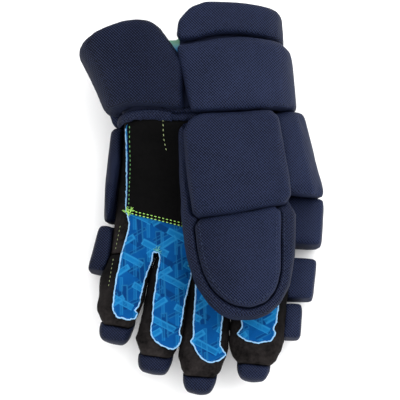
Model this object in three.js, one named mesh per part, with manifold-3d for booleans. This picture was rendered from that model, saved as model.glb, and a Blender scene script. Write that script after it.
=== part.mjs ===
// A left-hand ice hockey glove lying on its back, palm up.
// Lengths are millimetres: X runs to the thumb side, Y from the fingertips to the cuff, Z up from the floor.
// The cloth hand is hollow: a palm body, four finger sleeves and a thumb sleeve, open into a lined cuff.
// Foam pads under woven cloth cover its back, its thumb and its cuff, each a solid of its own.
import * as THREE from "three";
import { mergeVertices } from "three/addons/utils/BufferGeometryUtils.js";
import Module from "manifold-3d";

const wasm = await Module();
wasm.setup();

// Cloth and clearances
const CLOTH = 2; // wall of the palm body and of the finger and thumb sleeves
const FACING = 1.2; // the printed palm cloth, and the patch on it
const LINING = 2; // wall of the cuff lining
const SEAT = 0.3; // gap between a piece and what carries it
const SEAM = 1.2; // gap between two pads sewn side by side
const PRESS = 1.5; // how far the floor has flattened the pads that the glove rests on
const PAD_ROUND = 0.3; // share of half a pad's length and width over which it is rounded

// Palm body, from the wrist seam to the finger roots
const PALM_LENGTH = 108;
const WRIST_Y = 65;
const WRIST_X = -2;
const WRIST_WIDTH = 122;
const WRIST_DEPTH = 71;
const ROOT_X = -1;
const PALM_WIDTH = 146;
const PALM_DEPTH = 34;
const HAND_LIFT = 16.5; // foam under the back of the hand

// Fingers: the lengths and widths of the cloth sleeves
const FINGER_REACH = 99;
const FINGER_WIDTH = 34;
const FINGER_DEPTH = 30;
const CURL_RISE = 10; // how far the tip of a finger rises over its root
const ROOT_OVERLAP = 6; // a sleeve is modelled this far into the palm before it is cut at the root

// Pads on the back of the hand and the fingers
const FINGER_FOAM = 15;
const TIP_FOAM = 13;
const TIP_WIDTH = 30;
const TIP_OVERHANG = 14; // cap past the end of the cloth sleeve
const SIDE_FOAM = 24; // pads that wrap the index side
const SIDE_INSET = 4; // how far in over the palm's side that pad reaches
const SIDE_TOP = 84; // how high the index side's pad stands against the thumb
const EDGE_FOAM = 14; // pads that wrap the little-finger side
const EDGE_TOP = 50; // how high the little-finger side's pad stands

// Thumb: a padded guard round a cloth sleeve, with two more pads on top
const THUMB_X = 29;
const THUMB_Z = 80;
const THUMB_TOP_Y = 58.5;
const THUMB_LENGTH = 158.5;
const THUMB_WIDTH = 92;
const THUMB_DEPTH = 36;
const THUMB_FOAM = 14;
const RECESS_DEPTH = 11; // the pads sink this far into the top of the guard
const BASE_PAD_RISE = 8; // how far the pad at the thumb's root stands over the guard
const TIP_PAD_RISE = 2.5;
const PAD_CORNER = 5;

// Cuff
const CUFF_BOTTOM_Y = 60;
const CUFF_BOTTOM_RISE = 9; // how much higher the lower edge is at the thumb side
const WRIST_ROLL_HEIGHT = 59;
const CUFF_ROLL_HEIGHT = 32.5;
const SEAM_ARCH = 4.5; // how much higher the seam between the rolls is beside their start
const SEAM_DIP = 3; // how much lower it is at their start
const LINING_TOP_Y = 146.5;
const CUFF_TOP_WIDTH = 144;
const CUFF_TOP_DEPTH = 74;
const CUFF_LEAN = -20; // the cuff's mouth lies this far towards the little finger
const CUFF_FALL = 17; // how much lower the mouth is at the little-finger side
const WRIST_ROLL_FOAM = 19;
const CUFF_ROLL_FOAM = 14;
const FLAP_FOAM = 15;
const FLAP_HEIGHT = 75;
const FLAP_FALL = 9; // how much lower its top is at the little-finger side
const HEM_ARCH = 5; // how much higher the flap's lower edge and the binding are in their middle
const BINDING_HEIGHT = 9;
const BINDING_FOAM = 3.5;
const ROLL_ROUND = 6; // how far the ends and edges of a roll are rounded
const FLAP_ROUND = 8;

const NAVY = 0x2b3250;
const BLACK = 0x1a1a1c;
const BLUE = 0x1466b4;
const TEAL = 0x3a8fa8;

const rootY = WRIST_Y - PALM_LENGTH;
const fingerZ = HAND_LIFT + PALM_DEPTH / 2;
const onPatch = 3 * SEAT + 2 * FACING; // over the palm cloth and its patch
const FAR = 400;

const { degToRad, lerp: mix, clamp } = THREE.MathUtils;
const across = new THREE.Vector3(1, 0, 0);
const up = new THREE.Vector3(0, 0, 1);
const toFingers = new THREE.Vector3(0, -1, 0);
const toCuff = new THREE.Vector3(0, 1, 0);

const cloth = (name, color) =>
  new THREE.MeshStandardMaterial({ name, color, roughness: 0.85, metalness: 0 });
const navyCloth = cloth("navy_cloth", NAVY);
const blackCloth = cloth("black_cloth", BLACK);
const blueCloth = cloth("blue_palm_cloth", BLUE);
const liningCloth = cloth("cuff_lining", TEAL);

const glove = new THREE.Group();
glove.name = "hockey_glove";

// A closed solid, with its faces outwards, from a geometry whose faces may have vertices of their own.
function solidOf(geometry) {
  geometry.deleteAttribute("normal");
  geometry.deleteAttribute("uv");
  const merged = mergeVertices(geometry, 1e-4);
  const points = Array.from({ length: merged.attributes.position.count }, (_, i) =>
    new THREE.Vector3().fromBufferAttribute(merged.attributes.position, i),
  );
  const triVerts = new Uint32Array(merged.index.array);
  let volume = 0;
  for (let i = 0; i < triVerts.length; i += 3) {
    const [a, b, c] = [...triVerts.slice(i, i + 3)].map((v) => points[v]);
    volume += a.dot(b.clone().cross(c));
  }
  if (volume < 0) triVerts.reverse();
  const vertProperties = new Float32Array(merged.attributes.position.array);
  return new wasm.Manifold(new wasm.Mesh({ numProp: 3, vertProperties, triVerts }));
}

// Adds a solid to the glove as one named mesh.
function addPiece(name, solid, material) {
  const { vertProperties, triVerts } = solid.getMesh();
  const geometry = new THREE.BufferGeometry();
  geometry.setAttribute("position", new THREE.BufferAttribute(vertProperties, 3));
  geometry.setIndex(new THREE.BufferAttribute(triVerts, 1));
  geometry.computeVertexNormals();
  const mesh = new THREE.Mesh(geometry, material);
  mesh.name = name;
  glove.add(mesh);
}

const joined = (solids) => solids.reduce((all, solid) => all.add(solid));
const without = (solid, ...cutters) => cutters.reduce((left, cutter) => left.subtract(cutter), solid);

// A closed solid through rings of points, with a fan at each end.
function loft(rings) {
  const count = rings[0].length;
  const ends = [rings[0], rings.at(-1)].map((ring) =>
    ring.reduce((sum, p) => sum.add(p), new THREE.Vector3()).divideScalar(count),
  );
  const points = [...rings.flat(), ...ends];
  const index = [];
  for (let i = 0; i < count; i++) {
    const next = (i + 1) % count;
    const last = (rings.length - 1) * count;
    index.push(points.length - 2, next, i);
    index.push(points.length - 1, last + i, last + next);
    for (let here = 0; here < last; here += count) {
      const beyond = here + count;
      index.push(here + i, here + next, beyond + i);
      index.push(here + next, beyond + next, beyond + i);
    }
  }
  return solidOf(new THREE.BufferGeometry().setFromPoints(points).setIndex(index));
}

// A straight block between two corners, for cutting.
function block(low, high) {
  const size = high.map((v, i) => v - low[i]);
  const middle = high.map((v, i) => (v + low[i]) / 2);
  return solidOf(new THREE.BoxGeometry(...size).translate(...middle));
}

// A prism of an outline in X and Y, for cutting.
function prism(outline, bottom, top = FAR) {
  const shape = new THREE.Shape(outline.map(({ x, y }) => new THREE.Vector2(x, y)));
  const geometry = new THREE.ExtrudeGeometry(shape, { depth: top - bottom, bevelEnabled: false });
  return solidOf(geometry.translate(0, 0, bottom));
}

// An outline with its corners rounded.
function rounded(corners, radius, steps = 1) {
  const points = corners.map(([x, y]) => new THREE.Vector2(x, y));
  const towards = (from, to) => to.clone().sub(from).setLength(radius).add(from);
  return points.flatMap((corner, i) => {
    const before = towards(corner, points.at(i - 1));
    const after = towards(corner, points[(i + 1) % points.length]);
    return new THREE.QuadraticBezierCurve(before, corner, after).getPoints(steps);
  });
}

// An outline moved inwards by a distance, or outwards where it is negative. It runs clockwise.
function inset(outline, distance) {
  return outline.map((point, i) => {
    const chord = outline[(i + 1) % outline.length].clone().sub(outline.at(i - 1)).normalize();
    return new THREE.Vector2(point.x + chord.y * distance, point.y - chord.x * distance);
  });
}

// A tube of cloth. Each row is a section: how far along it lies, its middle sideways and upwards, and its
// half sizes. A higher power makes the sections squarer.
function tube({ rows, origin, side, heading, power, around, closed }) {
  const place = (x, along, z) =>
    origin.clone().addScaledVector(side, x).addScaledVector(heading, along).addScaledVector(up, z);
  const fold = (v) => Math.sign(v) * Math.abs(v) ** (2 / power);
  const onSection = (section, angle, lift) => {
    const x = section.side + (section.wide + lift) * fold(Math.cos(angle));
    return place(x, section.along, section.rise + (section.deep + lift) * fold(Math.sin(angle)));
  };
  const sectionAt = (along) => {
    const found = rows.findIndex((row) => row.along > along);
    const i = found < 0 ? rows.length - 1 : Math.max(found, 1);
    const [a, b] = [rows[i - 1], rows[i]];
    const share = clamp((along - a.along) / (b.along - a.along), 0, 1);
    const at = (key) => mix(a[key], b[key], share);
    return { along, side: at("side"), rise: at("rise"), wide: at("wide"), deep: at("deep") };
  };
  // The tube's form grown by lift, starting earlier by mouth.
  const solid = (lift, mouth = 0) => {
    const rings = rows.map((row, i) => {
      const start = i === 0 ? -mouth : 0;
      const tip = closed && i === rows.length - 1 ? lift : 0;
      const section = { ...row, along: row.along + start + tip };
      const turn = (2 * Math.PI) / around;
      return Array.from({ length: around }, (_, k) => onSection(section, k * turn, lift));
    });
    return loft(rings);
  };
  // Everything straight above the tube's widest line, from a height up.
  const above = (lift, bottom) => {
    const edge = (sign) => rows.map((row) => place(row.side + sign * (row.wide + lift), row.along, 0));
    return prism([...edge(-1), ...edge(1).reverse()], bottom);
  };
  const point = (along, angle, lift) => onSection(sectionAt(along), angle, lift);
  return { solid, above, point, place, sectionAt };
}

// A padded block with rounded edges, from a box of small cells. plan squares its outline, profile its
// edges. place puts each point, given as shares from -1 to 1 of the block's length, width and thickness.
// ends and sides are the shares of half its length and width over which it is rounded: where one is under
// 1, the last cell takes all of that rounding.
function pillow({ cells, plan = 8, profile = 3.5, ends = 1, sides = 1, place }) {
  const geometry = new THREE.BoxGeometry(2, 2, 2, ...cells);
  const position = geometry.attributes.position;
  const spread = (t) => Math.sin((Math.PI / 2) * t);
  const laid = (t, count, share) => {
    if (share === 1) return spread(t);
    const lastCell = 1 - 2 / count;
    return Math.abs(t) > lastCell + 1 / count ? Math.sign(t) : (t / lastCell) * (1 - share);
  };
  const past = (v, share) => Math.max(0, Math.abs(v) - (1 - share)) / share;
  const drawnIn = (v, share, reach) =>
    past(v, share) > 0 ? Math.sign(v) * (1 - share + (share * past(v, share)) / reach) : v;
  for (let i = 0; i < position.count; i++) {
    const a = laid(position.getX(i), cells[0], ends);
    const b = laid(position.getY(i), cells[1], sides);
    const c = spread(position.getZ(i));
    const outline = (past(a, ends) ** plan + past(b, sides) ** plan) ** (1 / plan);
    const reach = (outline ** profile + Math.abs(c) ** profile) ** (1 / profile);
    const { x, y, z } = place(drawnIn(a, ends, reach), drawnIn(b, sides, reach), c / reach);
    position.setXYZ(i, x, y, z);
  }
  return solidOf(geometry);
}

// A pad with a domed top over an outline. height is each ring's share of the way from its edge to its top.
const DOME_RINGS = [
  { share: 1, height: 0 },
  { share: 0.985, height: 0.5 },
  { share: 0.93, height: 0.84 },
  { share: 0.65, height: 1 },
];
function dome(outline, bottom, edge, top) {
  const middle = outline.reduce((sum, p) => sum.add(p), new THREE.Vector2()).divideScalar(outline.length);
  const ringAt = (share, z) =>
    outline.map((p) => new THREE.Vector3(mix(middle.x, p.x, share), mix(middle.y, p.y, share), z));
  const rings = DOME_RINGS.map(({ share, height }) => ringAt(share, mix(edge, top, height)));
  return loft([ringAt(1, bottom), ...rings]);
}

const floorUp = block([-FAR, -FAR, 0], [FAR, FAR, FAR]);

// Palm body: it carries on the cuff's oval at the wrist and flattens towards the finger roots.
// toRoot and toFlat are shares of the way from the wrist's width and depth to the palm's.
const PALM_SECTIONS = [
  { along: 0, toRoot: 0, toFlat: 0 },
  { along: 0.09, toRoot: 0.03, toFlat: 0.16 },
  { along: 0.2, toRoot: 0.12, toFlat: 0.52 },
  { along: 0.32, toRoot: 0.25, toFlat: 0.82 },
  { along: 0.5, toRoot: 0.5, toFlat: 0.97 },
  { along: 1, toRoot: 1, toFlat: 1 },
];
const palm = tube({
  rows: PALM_SECTIONS.map(({ along, toRoot, toFlat }) => ({
    along: along * PALM_LENGTH,
    side: mix(WRIST_X, ROOT_X, toRoot),
    rise: HAND_LIFT + mix(WRIST_DEPTH, PALM_DEPTH, toFlat) / 2,
    wide: mix(WRIST_WIDTH, PALM_WIDTH, toRoot) / 2,
    deep: mix(WRIST_DEPTH, PALM_DEPTH, toFlat) / 2,
  })),
  origin: new THREE.Vector3(0, WRIST_Y, 0),
  side: across,
  heading: toFingers,
  power: 2.5,
  around: 28,
  closed: false,
});

// Fingers. root is a share of half the palm's width and reach of FINGER_REACH. Widths and bend, which is how
// far the middle bows sideways, are shares of FINGER_WIDTH, and so are the left and right edges of the
// palm cloth's strip at the root, the middle and its end, which strip gives as a share of the reach.
const FINGERS = [
  {
    name: "pinky", root: -0.741, lean: 9.9, reach: 0.6, bend: -0.12,
    atRoot: 1.02, atMiddle: 1.04, atEnd: 0.93,
    strip: 0.91, stripLeft: [-0.26, -0.27, -0.22], stripRight: [0.56, 0.42, 0.39],
  },
  {
    name: "ring", root: -0.295, lean: 8.2, reach: 0.845, bend: 0,
    atRoot: 0.81, atMiddle: 0.95, atEnd: 0.98,
    strip: 0.93, stripLeft: [-0.39, -0.29, -0.23], stripRight: [0.5, 0.45, 0.46],
  },
  {
    name: "middle", root: 0.123, lean: 4.8, reach: 1, bend: 0.02,
    atRoot: 0.9, atMiddle: 0.98, atEnd: 1.05,
    strip: 0.895, stripLeft: [-0.42, -0.31, -0.24], stripRight: [0.5, 0.42, 0.39],
  },
  {
    name: "index", root: 0.675, lean: 4.3, reach: 0.9, bend: 0.02,
    atRoot: 1.33, atMiddle: 1.24, atEnd: 1.18,
    strip: 0.81, stripLeft: [-0.6, -0.45, -0.39], stripRight: [0.53, 0.46, 0.44],
  },
];

// Sections of a finger sleeve: which of the finger's widths each takes, its share of that and of the depth.
const FINGER_SECTIONS = [
  { along: 0, size: "atRoot", wide: 1, deep: 1, bent: 0 },
  { along: 0.38, size: "atMiddle", wide: 0.97, deep: 0.97, bent: 1 },
  { along: 0.83, size: "atEnd", wide: 1, deep: 0.9, bent: 0.5 },
  { along: 0.94, size: "atEnd", wide: 0.88, deep: 0.78, bent: 0.2 },
  { along: 1, size: "atEnd", wide: 0.66, deep: 0.56, bent: 0 },
];

const fingers = FINGERS.map((row) => {
  const reach = row.reach * FINGER_REACH;
  const turn = degToRad(row.lean);
  const rise = (along) => CURL_RISE * clamp(along / reach, 0, 1) ** 2;
  const form = tube({
    rows: FINGER_SECTIONS.map(({ along, size, wide, deep, bent }) => ({
      along: along * reach,
      side: bent * row.bend * FINGER_WIDTH,
      rise: rise(along * reach),
      wide: (wide * row[size] * FINGER_WIDTH) / 2,
      deep: (deep * FINGER_DEPTH) / 2,
    })),
    origin: new THREE.Vector3(ROOT_X + (row.root * PALM_WIDTH) / 2, rootY, fingerZ),
    side: new THREE.Vector3(Math.cos(turn), -Math.sin(turn), 0),
    heading: new THREE.Vector3(-Math.sin(turn), -Math.cos(turn), 0),
    power: 3.2,
    around: 16,
    closed: true,
  });
  return { ...row, ...form, reach, rise };
});

// The outer form of the cloth hand, grown by lift.
const handForm = (lift) => joined([palm.solid(lift), ...fingers.map((f) => f.solid(lift, ROOT_OVERLAP))]);
const handSeat = handForm(SEAT);
const handTop = joined([palm, ...fingers].map((form) => form.above(SEAT, fingerZ)));
const gripSide = palm.above(-SIDE_INSET, fingerZ);
const patchSeat = palm.solid(onPatch);
const palmSide = block([-FAR, -FAR, fingerZ + FINGER_DEPTH / 4], [FAR, FAR, FAR]);

// Sections of the thumb's guard. shift and width are shares of THUMB_WIDTH, depth of THUMB_DEPTH.
const GUARD_SECTIONS = [
  { along: 0, shift: -0.11, width: 0.84, depth: 0.94 },
  { along: 0.3, shift: -0.06, width: 0.91, depth: 1 },
  { along: 0.41, shift: -0.03, width: 0.93, depth: 1 },
  { along: 0.47, shift: 0, width: 1, depth: 1 },
  { along: 0.68, shift: 0.01, width: 0.94, depth: 0.98 },
  { along: 0.83, shift: 0.03, width: 0.81, depth: 0.92 },
  { along: 0.92, shift: 0.04, width: 0.63, depth: 0.82 },
  { along: 0.975, shift: 0.04, width: 0.42, depth: 0.66 },
  { along: 1, shift: 0.03, width: 0.2, depth: 0.4 },
];
const guard = tube({
  rows: GUARD_SECTIONS.map(({ along, shift, width, depth }) => ({
    along: along * THUMB_LENGTH,
    side: shift * THUMB_WIDTH,
    rise: 0,
    wide: (width * THUMB_WIDTH) / 2,
    deep: (depth * THUMB_DEPTH) / 2,
  })),
  origin: new THREE.Vector3(THUMB_X, THUMB_TOP_Y, THUMB_Z),
  side: across,
  heading: toFingers,
  power: 2.8,
  around: 24,
  closed: true,
});

// Sections of the thumb's sleeve. low and high are shares of THUMB_Z: near the root it dips into the palm.
const SLEEVE_SECTIONS = [
  { along: 0, shift: -0.08, width: 0.6, low: 0.55, high: 1.02 },
  { along: 0.2, shift: -0.05, width: 0.68, low: 0.59, high: 1.12 },
  { along: 0.35, shift: -0.02, width: 0.7, low: 0.64, high: 1.14 },
  { along: 0.48, shift: 0, width: 0.7, low: 0.78, high: 1.14 },
  { along: 0.7, shift: 0.01, width: 0.66, low: 0.84, high: 1.14 },
  { along: 0.88, shift: 0.03, width: 0.52, low: 0.87, high: 1.12 },
  { along: 1, shift: 0.04, width: 0.26, low: 0.94, high: 1.06 },
];
const thumb = tube({
  rows: SLEEVE_SECTIONS.map(({ along, shift, width, low, high }) => ({
    along: along * (THUMB_LENGTH - THUMB_FOAM),
    side: shift * THUMB_WIDTH,
    rise: ((low + high) * THUMB_Z) / 2,
    wide: (width * THUMB_WIDTH) / 2,
    deep: ((high - low) * THUMB_Z) / 2,
  })),
  origin: new THREE.Vector3(THUMB_X, THUMB_TOP_Y, 0),
  side: across,
  heading: toFingers,
  power: 3,
  around: 16,
  closed: true,
});
const thumbHollow = thumb.solid(-CLOTH, 2 * CLOTH);

// The outlines of the thumb's two pads: shares of THUMB_WIDTH from its middle and of THUMB_LENGTH from its
// top. The first four points of the pad at the root are its top edge.
const BASE_PAD_OUTLINE = [
  [-0.5, 0.05], [-0.36, -0.002], [-0.1, -0.007], [0.32, -0.022], [0.365, 0.2], [0.435, 0.428],
  [0.12, 0.464], [-0.12, 0.486], [-0.393, 0.51], [-0.43, 0.382], [-0.467, 0.256],
];
const TIP_PAD_OUTLINE = [
  [-0.378, 0.519], [-0.1, 0.495], [0.12, 0.473], [0.345, 0.446], [0.335, 0.796], [0.273, 0.888],
  [0.158, 0.938], [0.01, 0.944], [-0.15, 0.9], [-0.263, 0.823], [-0.335, 0.696],
];
const onThumb = (outline) =>
  outline.map(([x, along]) => [THUMB_X + x * THUMB_WIDTH, THUMB_TOP_Y - along * THUMB_LENGTH]);

// Cuff lining: an oval tube from the wrist seam, which leans and falls away to the little-finger side.
const liningY = WRIST_Y + SEAT;
const cuff = tube({
  rows: [0, 0.33, 0.66, 1].map((share) => ({
    along: share * (LINING_TOP_Y - liningY),
    side: mix(WRIST_X, CUFF_LEAN, share),
    rise: HAND_LIFT + mix(WRIST_DEPTH, CUFF_TOP_DEPTH, share) / 2,
    wide: mix(WRIST_WIDTH, CUFF_TOP_WIDTH, share) / 2,
    deep: mix(WRIST_DEPTH, CUFF_TOP_DEPTH, share) / 2,
  })),
  origin: new THREE.Vector3(0, liningY, 0),
  side: across,
  heading: toCuff,
  power: 2.5,
  around: 28,
  closed: false,
});
const cuffSeat = joined([cuff.solid(SEAT), cuff.solid(SEAT, WRIST_Y - CUFF_BOTTOM_Y), patchSeat]);

// Angles round the cuff, in degrees: 0 at the thumb side, 90 at the palm, 180 at the little finger, and -90
// behind.
const ROLL_END = -174;
const WRIST_ROLL_START = { low: 94.3, middle: 94.1, high: 94.1 };
const CUFF_ROLL_START = { low: 93.4, middle: 91.2, high: 76 };
const FLAP_START = { low: 95.8, middle: 94.4, high: 104 };
const FLAP_END = { low: 175, high: 184 };
const BINDING_START = 102.5;
const BINDING_END = 172;
const CORNER_SHARE = 0.5; // share of a band's height at which its start begins to turn from middle to high
const CORNER_BEND = 2.5; // how late it does most of that
const hemMiddle = (FLAP_START.low + FLAP_END.low) / 2;
const hemHalf = (FLAP_END.low - FLAP_START.low) / 2;
const hemRise = (angle) => HEM_ARCH * Math.max(0, 1 - ((angle - hemMiddle) / hemHalf) ** 2);
const towardsEdge = (angle) => clamp((-90 - angle) / 90, 0, 1);
const mouthFall = (angle) => CUFF_FALL * towardsEdge(angle);

// A padded band bent round the cuff between two heights, from one angle to another. Both ends may slant.
function cuffBand({ from, to, low, high, foam, cells, plan, ends, sides }) {
  const startAt = (share) => {
    if (share < CORNER_SHARE) return mix(from.low, from.middle, share / CORNER_SHARE);
    return mix(from.middle, from.high, ((share - CORNER_SHARE) / (1 - CORNER_SHARE)) ** CORNER_BEND);
  };
  return pillow({
    cells,
    plan,
    ends,
    sides,
    place: (a, b, c) => {
      const share = (b + 1) / 2;
      const angle = mix(startAt(share), mix(to.low, to.high, share), (a + 1) / 2);
      const y = mix(low(angle), high(angle), share);
      return cuff.point(y - liningY, degToRad(angle), foam(angle) * (0.3 + 0.7 * c));
    },
  });
}

// The share of half a band's length that a distance round the cuff takes, for a band of so many degrees.
const endShare = (distance, degrees) => distance / (degToRad(degrees / 2) * (CUFF_TOP_WIDTH / 2));

// The lining is cut down where the flap and the falling mouth would leave it bare.
function addLining() {
  const half = CUFF_TOP_WIDTH / 2;
  const flapTop = WRIST_Y + FLAP_HEIGHT;
  const mouth = [
    { x: -FAR, y: LINING_TOP_Y - 2 * CUFF_FALL - (FAR - half) * 0.6 },
    { x: CUFF_LEAN - half, y: LINING_TOP_Y - 2 * CUFF_FALL },
    { x: CUFF_LEAN - half / 2, y: LINING_TOP_Y - SEAT },
    { x: FAR, y: LINING_TOP_Y - SEAT },
    { x: FAR, y: FAR },
    { x: -FAR, y: FAR },
  ];
  const underFlap = [
    { x: -FAR, y: flapTop - 2 * CUFF_FALL },
    { x: CUFF_LEAN - half, y: flapTop - 1.5 * CUFF_FALL },
    { x: CUFF_LEAN - half / 2, y: flapTop - CUFF_FALL },
    { x: WRIST_X - CUFF_FALL, y: flapTop - CUFF_FALL },
    { x: WRIST_X - CUFF_FALL, y: FAR },
    { x: -FAR, y: FAR },
  ];
  const middle = HAND_LIFT + WRIST_DEPTH / 2;
  const wall = without(cuff.solid(0), cuff.solid(-LINING, SEAT));
  addPiece("cuff_lining", without(wall, prism(mouth, -FAR), prism(underFlap, middle)), liningCloth);
}

function addRolls() {
  const onFloor = (angle) => (HAND_LIFT + PRESS - WRIST_ROLL_FOAM) * Math.max(0, -Math.sin(degToRad(angle)));
  const thinned = (foam, angle) => foam * (1 - 0.45 * towardsEdge(angle));
  const lowEdge = (angle) => CUFF_BOTTOM_Y + CUFF_BOTTOM_RISE * Math.max(0, Math.cos(degToRad(angle))) ** 2;
  const arch = (angle) => SEAM_ARCH * clamp(Math.min(angle, 90 - angle) / 20, 0, 1);
  const dip = (angle) => SEAM_DIP * clamp((angle - 70) / 20, 0, 1);
  const seamY = CUFF_BOTTOM_Y + WRIST_ROLL_HEIGHT;
  const seamAt = (angle) => seamY + arch(angle) - dip(angle) - mouthFall(angle) / 2;
  const shape = (band) => without(cuffBand(band), cuffSeat).intersect(floorUp);
  const to = { low: ROLL_END, high: ROLL_END };
  const wristRoll = shape({
    from: WRIST_ROLL_START,
    to,
    low: lowEdge,
    high: seamAt,
    foam: (angle) => thinned(WRIST_ROLL_FOAM, angle) + onFloor(angle),
    cells: [22, 3, 2],
    plan: 8,
    ends: endShare(ROLL_ROUND, WRIST_ROLL_START.low - ROLL_END),
    sides: (2 * ROLL_ROUND) / WRIST_ROLL_HEIGHT,
  });
  const cuffRoll = shape({
    from: CUFF_ROLL_START,
    to,
    low: (angle) => seamAt(angle) + SEAM,
    high: (angle) => seamY + SEAM + CUFF_ROLL_HEIGHT - mouthFall(angle),
    foam: (angle) => thinned(CUFF_ROLL_FOAM, angle),
    cells: [22, 4, 2],
    plan: 8,
    ends: endShare(ROLL_ROUND, CUFF_ROLL_START.low - ROLL_END),
    sides: (2 * ROLL_ROUND) / CUFF_ROLL_HEIGHT,
  });
  addPiece("wrist_roll", wristRoll, navyCloth);
  addPiece("cuff_roll", cuffRoll, navyCloth);
}

// The padded flap on the palm side of the cuff. Its top falls away towards the little finger.
function addFlap() {
  const low = WRIST_Y - SEAM;
  const fallShare = (angle) => (angle - FLAP_START.low) / (FLAP_END.high - FLAP_START.low);
  const flap = cuffBand({
    from: FLAP_START,
    to: FLAP_END,
    low: (angle) => low + hemRise(angle),
    high: (angle) => low + FLAP_HEIGHT - FLAP_FALL * fallShare(angle) ** 2,
    foam: () => FLAP_FOAM,
    cells: [8, 4, 2],
    plan: 6,
    ends: endShare(FLAP_ROUND, FLAP_END.high - FLAP_START.low),
    sides: (2 * ROLL_ROUND) / FLAP_HEIGHT,
  });
  addPiece("inner_cuff", without(flap, cuffSeat), navyCloth);
}

// The turned binding where the palm meets the flap.
function addBinding() {
  const band = pillow({
    cells: [10, 2, 2],
    ends: PAD_ROUND,
    place: (a, b, c) => {
      const angle = mix(BINDING_START, BINDING_END, (a + 1) / 2);
      const along = 2 * SEAM + BINDING_HEIGHT * (0.5 + 0.5 * b) - hemRise(angle);
      return palm.point(along, degToRad(angle), onPatch + BINDING_FOAM * c);
    },
  });
  addPiece("wrist_binding", without(band, cuffSeat), navyCloth);
}

function addPalmBody() {
  const wall = without(palm.solid(0), palm.solid(-CLOTH, SEAT), thumbHollow);
  const fingerSide = block([-FAR, -FAR, -FAR], [FAR, rootY + SEAT, FAR]);
  addPiece("palm_body", without(wall, fingerSide), blackCloth);
}

function addFingerSleeve(finger) {
  const wall = without(finger.solid(0, ROOT_OVERLAP), finger.solid(-CLOTH, 2 * ROOT_OVERLAP));
  const handSide = block([-FAR, rootY, -FAR], [FAR, FAR, FAR]);
  addPiece("sleeve_" + finger.name, without(wall, handSide), blackCloth);
}

// Outlines over the palm: shares of half its width from its middle, and of its length from the finger roots.
const FACE_OUTLINE = [[-0.83, 0.99], [-0.83, 0.22], [-0.875, 0], [0.92, 0], [0.83, 0.4], [0.72, 0.99]];
const PATCH_OUTLINE = [
  [-0.815, 0.99], [-0.815, 0.305], [-0.22, 0.21], [0.3, 0.15], [0.76, 0.13], [0.7, 0.99],
];
const onPalm = (outline) =>
  outline.map(([x, y]) => new THREE.Vector2(ROOT_X + (x * PALM_WIDTH) / 2, rootY + y * PALM_LENGTH));

// The strip of palm cloth on a finger, as an outline.
function stripOutline(finger) {
  const end = finger.strip * finger.reach;
  const alongs = [-ROOT_OVERLAP, end / 2, end];
  const edge = (shares) => alongs.map((along, i) => finger.place(shares[i] * FINGER_WIDTH, along, 0));
  return [...edge(finger.stripLeft), ...edge(finger.stripRight).reverse()];
}

// A sheet of cloth over the palm side of the hand, between two heights over it, within the given prisms.
function sheet(inner, outer, outlines) {
  const within = joined(outlines.map((outline) => prism(outline, 0)));
  return without(handForm(outer), handForm(inner), thumbHollow).intersect(palmSide).intersect(within);
}

function addPalmCloth() {
  const face = sheet(SEAT, SEAT + FACING, [onPalm(FACE_OUTLINE), ...fingers.map(stripOutline)]);
  const patch = sheet(2 * SEAT + FACING, 2 * (SEAT + FACING), [onPalm(PATCH_OUTLINE)]);
  addPiece("palm_face", face, blueCloth);
  addPiece("palm_patch", patch, blackCloth);
}

function addThumb() {
  const bottom = THUMB_Z + THUMB_DEPTH / 2 - RECESS_DEPTH;
  const guardTop = THUMB_Z + THUMB_DEPTH / 2;
  const base = rounded(onThumb(BASE_PAD_OUTLINE), PAD_CORNER);
  const tip = rounded(onThumb(TIP_PAD_OUTLINE), PAD_CORNER);
  const recess = joined([base, tip].map((outline) => prism(inset(outline, -SEAM), bottom - SEAT)));
  const underside = thumb.solid(SEAT).translate([0, 0, -THUMB_FOAM]);
  const topEdge = onThumb(BASE_PAD_OUTLINE.slice(0, 4)).map(([x, y]) => ({ x, y: y + 2 * SEAM }));
  const ends = [
    { x: FAR, y: topEdge.at(-1).y },
    { x: FAR, y: FAR },
    { x: -FAR, y: FAR },
    { x: -FAR, y: topEdge[0].y },
  ];
  const overTop = prism([...topEdge, ...ends], THUMB_Z);
  const form = without(guard.solid(0), thumb.solid(SEAT), underside, recess, patchSeat, cuffSeat, overTop);
  const basePad = dome(base, bottom, guardTop, guardTop + BASE_PAD_RISE);
  const tipPad = dome(tip, bottom, guardTop - TIP_PAD_RISE, guardTop + TIP_PAD_RISE);
  const seated = (pad) => without(pad, thumb.solid(SEAT), cuffSeat);
  addPiece("thumb_sleeve", without(thumb.solid(0), thumbHollow, patchSeat), blackCloth);
  addPiece("thumb_guard", form, navyCloth);
  addPiece("thumb_base_pad", seated(basePad), navyCloth);
  addPiece("thumb_tip_pad", seated(tipPad), navyCloth);
}

// A pad on the hand's back and sides: it keeps off the palm side, and the floor flattens it.
const onBack = (pad, palmward = handTop) => without(pad, handSeat, palmward).intersect(floorUp);

// Pads on the back of the hand, side by side. left and right are shares of half the palm's width, wrap is
// the foam past the palm's side as shares of SIDE_FOAM at the low and high ends, and low is a share of
// PALM_LENGTH.
const BACK_PADS = [
  { name: "pinky", left: -1, right: -0.42, wrap: [-0.29, -0.42], low: 0.255, top: EDGE_TOP },
  { name: "centre", left: -0.42, right: 0.4, wrap: [0, 0], low: 0.36, top: HAND_LIFT + PALM_DEPTH / 4 },
  { name: "index", left: 0.4, right: 1, wrap: [1.43, 1.03], low: 0.486, top: SIDE_TOP },
];
// How the index side's pad differs: its top edge follows the wrist roll, its outer side reaches further
// down and falls away, and its palm side hangs over the knuckle's pad.
const SIDE_FORM = { rise: CUFF_BOTTOM_RISE, drop: 5, fall: 24, overhang: 9 };
const PLAIN_FORM = { rise: 0, drop: 0, fall: 0, overhang: 0 };

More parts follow.
